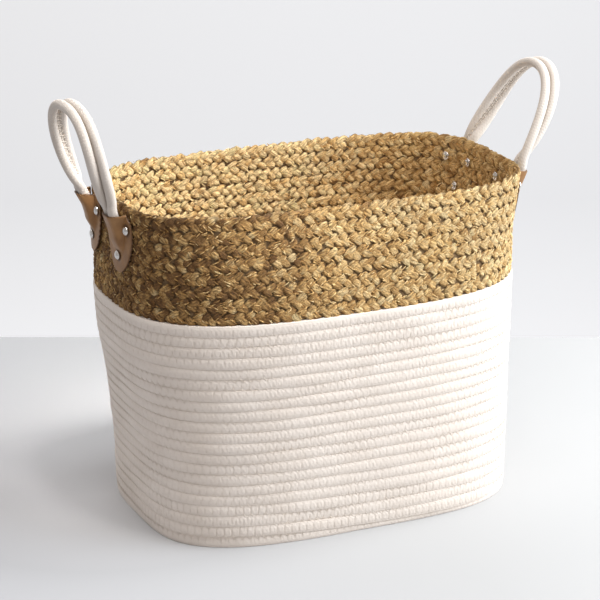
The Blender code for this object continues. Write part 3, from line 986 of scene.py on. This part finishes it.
def wall_x(side, y, z):
    length, width, square, lean = outline_values(z)
    return lean + side * length * (1 - (np.abs(y) / width) ** square) ** (1 / square)


def wall_point(side, y, z, out=0.0):
    step = 0.0005
    along_y = Vector((wall_x(side, y + step, z) - wall_x(side, y - step, z), 2 * step, 0))
    along_z = Vector((wall_x(side, y, z + step) - wall_x(side, y, z - step), 0, 2 * step))
    normal = along_y.cross(along_z).normalized() * side
    return Vector((wall_x(side, y, z), y, z)) + float(out) * normal, normal


def legs_of(handle):
    return zip((-1, 1), ("front", "back"), handle["tab_y"])


def strap_at(handle, leg, tab_y, z):
    hinge_y = handle["centre_y"] + leg * handle["half_span"]
    hinge_out = handle["hinge_x"] - abs(wall_x(handle["side"], tab_y, RIM_HEIGHT))
    share = float(smooth(z, BEND_START, HINGE_HEIGHT))
    return tab_y + share * (hinge_y - tab_y), CLAMPED_OUT + share * (hinge_out - CLAMPED_OUT)


def pinch(z):
    """How much of its thickness a strap end keeps where the tab presses it flat."""
    return 0.6 + 0.4 * smooth(z, 0.2705, 0.2880)


def bezier(p0, p1, p2, p3, t):
    s = 1 - t
    return s**3 * p0 + 3 * s * s * t * p1 + 3 * s * t * t * p2 + t**3 * p3


def loop_point(handle, leg, t):
    span, top = handle["half_span"], handle["top_height"]
    half = bezier(span, span, handle["top_half"], 0.0, t)
    z = bezier(HINGE_HEIGHT, HINGE_HEIGHT + handle["base_rise"], top, top, t)
    rise = z - HINGE_HEIGHT
    x = handle["hinge_x"] + handle["lean"] * rise + handle["lean_curve"] * rise * rise
    twist = math.radians(90) * (1 - (1 - t) ** TWIST_POWER)
    width = Vector((handle["side"] * math.sin(twist), -leg * math.cos(twist), 0))
    return Vector((handle["side"] * x, handle["centre_y"] + leg * half, z)), width


def resample(at, way, values):
    return np.stack([np.interp(at, way, values[:, i]) for i in range(3)], -1)


def strap_line(handle):
    """The strap's centre line from one clamped end over the loop to the other, its direction and its width's."""
    centres, widths = [], []
    for leg, _, tab_y in legs_of(handle):
        part_centres, part_widths = [], []
        for z in np.linspace(CLAMPED_BOTTOM, 0.2965, 20):
            y, out = strap_at(handle, leg, tab_y, z)
            out = out - (1 - pinch(z)) * ROPE_RADIUS
            part_centres.append(wall_point(handle["side"], y, min(z, RIM_HEIGHT - 0.001), out)[0])
            part_widths.append(Vector((0, -leg, 0)))
        for t in np.linspace(0.03, 1.0, 90):
            point, width = loop_point(handle, leg, t)
            part_centres.append(point)
            part_widths.append(width)
        if leg > 0:
            part_centres, part_widths = part_centres[-2::-1], part_widths[-2::-1]
        centres += part_centres
        widths += part_widths
    centres, widths = np.array(centres), np.array(widths)
    way = way_along(centres)
    even = np.arange(0, way[-1], STRAP_STEP)
    line, width = resample(even, way, centres), resample(even, way, widths)
    for _ in range(STRAP_SMOOTHINGS):
        for values in (line, width):
            values[1:-1] = 0.25 * values[:-2] + 0.5 * values[1:-1] + 0.25 * values[2:]
    along = unit(np.gradient(line, axis=0))
    width, _ = square_to(along, width)
    return line, along, width


def make_strap(end, handle, cotton, thread):
    line, along, width = strap_line(handle)
    face = np.cross(along, width)
    towards_inside = 1.0 if face[len(line) // 2][2] < 0 else -1.0
    inner = face * towards_inside
    sides, count = STRAP_SIDES, len(line)
    angles = angles_round(sides)
    way = np.arange(count) * STRAP_STEP
    end_taper = smooth(way, -0.001, 0.004) * (1 - smooth(way, way[-1] - 0.004, way[-1] + 0.001))
    # A braided cover: two sets of slanting ridges that cross.
    slant = way[:, None] / COVER_PATTERN
    turn = angles[None, :] / FULL_TURN * 8
    ridges = np.cos(FULL_TURN * (turn + slant)) * np.cos(FULL_TURN * (turn - slant))
    spot = strand_mark(way, angles * ROPE_RADIUS, 0.0).reshape(-1, 3)
    tips = np.stack([line[0] - 0.0006 * along[0], line[-1] + 0.0006 * along[-1]])
    pieces = []
    for rope, where in ((1, "outer"), (-1, "inner")):
        sideways = rope * ROPE_SPACING / 2 * width
        # The thread pulls the two ropes together on the strap's inner face.
        toward = np.cos(angles)[None, :] * -rope
        seam = np.clip(toward, 0, 1) ** 3 * np.clip(np.sin(angles)[None, :] + 0.3, 0, 1)
        zig = np.abs((way[:, None] / (2 * STRAP_STITCH)) % 1.0 - 0.5) * 2
        radius = (ROPE_RADIUS - 0.0001) + 0.00014 * ridges - 0.0004 * seam * zig
        radius = radius * (0.35 + 0.65 * end_taper[:, None] ** 0.5) * pinch(line[:, 2])[:, None]
        ring = swept(line + sideways, radius * np.cos(angles), width, radius * np.sin(angles), inner)
        # Painted shade where the two ropes meet, and at the rope ends.
        hollow = np.clip(toward, 0, 1) ** 6 * np.clip(0.4 - np.sin(angles), 0, 1) * np.ones((count, 1))
        marks = {
            "hollow": np.concatenate([hollow.ravel(), [0.5, 0.5]]),
            "strand": np.concatenate([spot, spot[:1], spot[-1:]]),
        }
        placed = np.concatenate([ring.reshape(-1, 3), tips + sideways[[0, -1]]])
        quads = grid_quads(count, sides, False, True)
        name = f"{end}_strap_{where}_rope"
        pieces.append(mesh_object(name, placed, quads, cotton, cap_triangles(count, sides), marks))

    t = np.arange(0.004, way[-1] - 0.004, STRAP_STITCH / 5)
    middle, across, inward = (resample(t, way, values) for values in (line, width, inner))
    zig = zigzag(t / (2 * STRAP_STITCH))[:, None]
    lift = 0.0028 + 0.0010 * (np.abs(zig) - np.abs(zig) ** 8 * 1.3)
    seam = middle + 0.0034 * zig * across + lift * inward
    points, quads, triangles = tubes([seam], [inward], 0.00042, 6)
    pieces.append(mesh_object(f"{end}_strap_thread", points, quads, thread, triangles))
    points, quads, triangles = tubes([middle + 0.0013 * inward], [inward], 0.0016, 8)
    # Painted shade on the glue line between the ropes.
    marks = {"hollow": np.full(len(points), 0.15)}
    pieces.append(mesh_object(f"{end}_strap_glue_line", points, quads, cotton, triangles, marks))
    return pieces


# ------------------------------ tabs and rivets


def tab_half_width(z):
    reach, roundness = TAB_UPPER if z > TAB_WIDEST else TAB_LOWER
    share = min(abs(z - TAB_WIDEST) / reach, 0.999)
    return TAB_HALF_WIDTH * (1 - share**roundness) ** (1 / roundness)


def hump_share(across):
    """The hump's height at a distance from its centre, as a share."""
    distance = np.linspace(0, 0.016, 161)
    raw = np.interp(distance, HUMP[:, 0], HUMP[:, 1])
    kernel = np.exp(-(np.arange(-12, 13) / 5.5) ** 2)
    padded = np.concatenate([raw[12:0:-1], raw, np.zeros(12)])
    softened = np.convolve(padded, kernel / kernel.sum(), "valid")
    return np.interp(across, distance, np.maximum(softened, raw))


def rivet_spots(tab_y):
    """Letter, y and height of the three rivets through one tab."""
    return (
        ("a", tab_y - RIVET_SPREAD, RIVET_UPPER),
        ("b", tab_y + RIVET_SPREAD, RIVET_UPPER),
        ("c", tab_y, RIVET_LOWER),
    )


def make_tab(name, handle, leg, tab_y, finish):
    rows, columns = TAB_ROWS, 2 * TAB_HALF_COLUMNS + 1
    levels = TAB_TOP + (TAB_BOTTOM - TAB_TOP) * (1 - np.cos(np.linspace(0, math.pi, rows))) / 2
    spread = np.linspace(-1, 1, columns)
    points = []
    for z in levels:
        half_width = tab_half_width(z)
        centre, out = strap_at(handle, leg, tab_y, z)
        height = out + (2 * pinch(z) - 1) * ROPE_RADIUS + HUMP_CLEARANCE
        height *= float(smooth(z, 0.2570, CLAMPED_BOTTOM + 0.001))
        squeeze = min(1.0, HUMP_SHARE * half_width / HUMP[-1, 0])
        for a in np.sign(spread) * np.abs(spread) ** 1.05 * half_width:
            lift = height * float(hump_share(abs(a) / squeeze))
            follow = 1 - smooth(abs(a), 0.6 * half_width, half_width)
            y = tab_y + a + float(follow) * (centre - tab_y)
            points.append(wall_point(handle["side"], y, min(z, RIM_HEIGHT - 0.001), PART_GAP + lift)[0])
    inner = np.array(points).reshape(rows, columns, 3)
    down, side = np.gradient(inner, axis=0), np.gradient(inner, axis=1)
    normal = unit(np.cross(side, down))
    if normal[..., 0].sum() * handle["side"] < 0:
        normal = -normal
    # Distance to the edge in grid steps rounds the leather's cut edge over.
    i = np.minimum(np.arange(rows), np.arange(rows)[::-1])[:, None]
    j = np.minimum(np.arange(columns), np.arange(columns)[::-1])[None, :]
    near = np.minimum(i * 0.6, j)
    outer = inner + TAB_THICK * normal - (0.0003 * np.exp(-near / 0.8))[..., None] * normal
    dents, rings = np.zeros((rows, columns)), np.zeros((rows, columns))
    for _, y, z in rivet_spots(tab_y):
        spot, _ = wall_point(handle["side"], y, z)
        distance = np.hypot(inner[..., 1] - spot.y, inner[..., 2] - spot.z)
        rings = np.maximum(rings, np.exp(-(((distance - 0.0045) / 0.0013) ** 2)))
        dents += 0.00035 * np.exp(-(((distance - 0.0046) / 0.0013) ** 2)) * (distance > 0.0042)
    outer = outer - dents[..., None] * normal
    size = rows * columns
    placed = np.concatenate([inner.reshape(-1, 3), outer.reshape(-1, 3)])
    front = grid_quads(rows, columns, False, False)
    grid = np.arange(size).reshape(rows, columns)
    rim = np.concatenate([grid[0], grid[1:, -1], grid[-1, -2::-1], grid[-2:0:-1, 0]])
    following = np.roll(rim, -1)
    edge_quads = np.stack([rim, following, following + size, rim + size], -1)
    quads = np.concatenate([front, front[:, ::-1] + size, edge_quads])
    # Painted shade on the underside, against the wall, and in a ring round each rivet cap; the cut edge itself is
    # darker leather.
    edge = np.exp(-near / 1.2)
    inside, outside = np.clip(edge + 0.55, 0, 1), np.maximum(0.7 * edge, rings)
    marks = {"edge": np.concatenate([inside.ravel(), outside.ravel()])}
    tab = mesh_object(name, placed, quads, finish, marks=marks)
    bevel_edges(tab)
    fix_normals(tab)
    return tab


def bevel_edges(obj):
    bevel = obj.modifiers.new("edges", "BEVEL")
    bevel.width = 0.0003
    bevel.segments = 2
    bevel.limit_method = "ANGLE"
    bevel.angle_limit = math.radians(50)
    graph = bpy.context.evaluated_depsgraph_get()
    mesh = bpy.data.meshes.new_from_object(obj.evaluated_get(graph), depsgraph=graph)
    obj.modifiers.clear()
    obj.data = mesh


def fix_normals(obj):
    bm = bmesh.new()
    bm.from_mesh(obj.data)
    bmesh.ops.recalc_face_normals(bm, faces=bm.faces)
    bm.to_mesh(obj.data)
    bm.free()


def turned_rings(section, normal):
    """Circles about the normal, one for each (radius, height)."""
    turn = angles_round(RIVET_STEPS)
    across = normal.orthogonal().normalized()
    across, other, axis = np.array(across), np.array(normal.cross(across)), np.array(normal)
    return [r * (np.cos(turn)[:, None] * across + np.sin(turn)[:, None] * other) + h * axis for r, h in section]


def make_rivet(name, profile, place, normal, finish):
    """Turns (radius, height) points about the normal at place. The profile starts and ends on the axis."""
    body = profile[1:-1]
    axis = np.array(normal)
    tips = np.array([profile[0][1] * axis, profile[-1][1] * axis])
    points = np.concatenate([*turned_rings(body, normal), tips]) + np.array(place)
    quads = grid_quads(len(body), RIVET_STEPS, False, True)
    rivet = mesh_object(name, points, quads, finish, cap_triangles(len(body), RIVET_STEPS))
    fix_normals(rivet)
    rivet.data.set_sharp_from_angle(angle=math.radians(40))
    return rivet


def wall_depth(point, normal):
    """How far behind a point of the outside the band's inside lies."""
    step, depth = 0.00005, SEAGRASS_THICK
    while True:
        inside = point - depth * normal
        length, width, square, lean = outline_values(inside.z)
        inset = SEAGRASS_THICK + drawn_in(inside.z)
        share = (abs(inside.x - lean) / (length - inset)) ** square
        share += (abs(inside.y) / (width - inset)) ** square
        if share < 1:
            return depth
        depth += step


def rivet_profile(depth):
    seat = TAB_THICK + 3 * PART_GAP
    inside = -(depth + PART_GAP)
    rise = CAP_HEIGHT - 0.0003
    dome = [
        (CAP_RADIUS * math.sin(a), seat + 0.0003 + rise * math.cos(a))
        for a in map(math.radians, (0, 14, 28, 42, 56, 70, 82, 90))
    ]
    cap_edge = [(CAP_RADIUS, seat + 0.0001), (CAP_RADIUS - 0.0002, seat)]
    post = [(POST_RADIUS, seat), (POST_RADIUS, inside)]
    head = ((0.0024, 0.0002), (0.0025, 0.0006), (0.0021, 0.0010), (0.0012, 0.0011), (0.0, 0.0009))
    return dome + cap_edge + post + [(radius, inside - depth) for radius, depth in head]


def make_washer(name, place, normal, finish):
    section = (
        (WASHER_RADIUS - 0.0001, WASHER_THICK),
        (HOLE_RADIUS + 0.0001, WASHER_THICK),
        (HOLE_RADIUS, WASHER_THICK - 0.0001),
        (HOLE_RADIUS, 0.0003),
        (HOLE_RADIUS + 0.0004, 0.0001),
        (0.0029, 0.0),
        (0.0034, 0.0001),
        (0.0038, 0.0004),
        (WASHER_RADIUS, 0.0007),
    )
    points = np.concatenate(turned_rings(section, normal)) + np.array(place)
    washer = mesh_object(name, points, grid_quads(len(section), RIVET_STEPS, True, True), finish)
    fix_normals(washer)
    return washer


def rivet_seats():
    for end, handle in HANDLES.items():
        for _, where, tab_y in legs_of(handle):
            for letter, y, z in rivet_spots(tab_y):
                point, normal = wall_point(handle["side"], y, z)
                yield f"{end}_{where}_{letter}", point, normal


# ------------------------------ assembly


def give(piece, node=None):
    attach(piece, "root")
    if node:
        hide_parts(node)


def main():
    make_camera()
    make_lights()
    make_stage()
    bpy.context.scene.view_settings.view_transform = "Standard"

    cotton, strap_cotton, thread = (cotton_material(name, *values) for name, values in COTTONS.items())
    seagrass, leather, nickel = seagrass_material(), leather_material(), nickel_material()

    edges = row_edges()
    phases = np.random.default_rng(23).uniform(0, 1, COTTON_ROWS + 1)
    for number, piece in enumerate(make_cotton_rows(cotton, edges, phases)):
        give(piece, "cotton_wall" if number == 0 else None)
    for piece in make_cotton_thread(thread, edges, phases):
        give(piece)
    give(make_base(cotton), "cotton_base")
    give(make_base_thread(thread))
    for row in range(PLAIT_ROWS):
        give(make_plait_row(row, seagrass), "seagrass_band" if row == 0 else None)
    give(make_core(core_material()))
    for piece in make_fibres(seagrass):
        give(piece)

    for end, handle in HANDLES.items():
        for piece in make_strap(end, handle, strap_cotton, thread):
            for rope, where in (("outer", "front"), ("inner", "back")):
                if piece.name.endswith(f"_{rope}_rope"):
                    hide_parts(f"{end}_handle_{rope}_rope", f"strap_end_{end}_{where}")
            x, y = handle["side"] * handle["hinge_x"], handle["centre_y"]
            blend_low, blend_high = ((x, y, HINGE_HEIGHT + rise) for rise in FOLD_REACH)
            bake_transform(piece)
            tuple(blend_low)
            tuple(blend_high)
        for leg, where, tab_y in legs_of(handle):
            tab = make_tab(f"{end}_{where}_leather_tab", handle, leg, tab_y, leather)
            give(tab, f"tab_{end}_{where}")
    for name, point, normal in rivet_seats():
        depth = wall_depth(point, normal) + WASHER_GAP + WASHER_THICK
        rivet = make_rivet(f"domed_rivet_{name}", rivet_profile(depth), point, normal, nickel)
        give(rivet, f"rivet_{name}")
        washer = make_washer(f"burr_{name}", point - depth * normal, normal, nickel)
        give(washer, f"washer_{name}")


main()
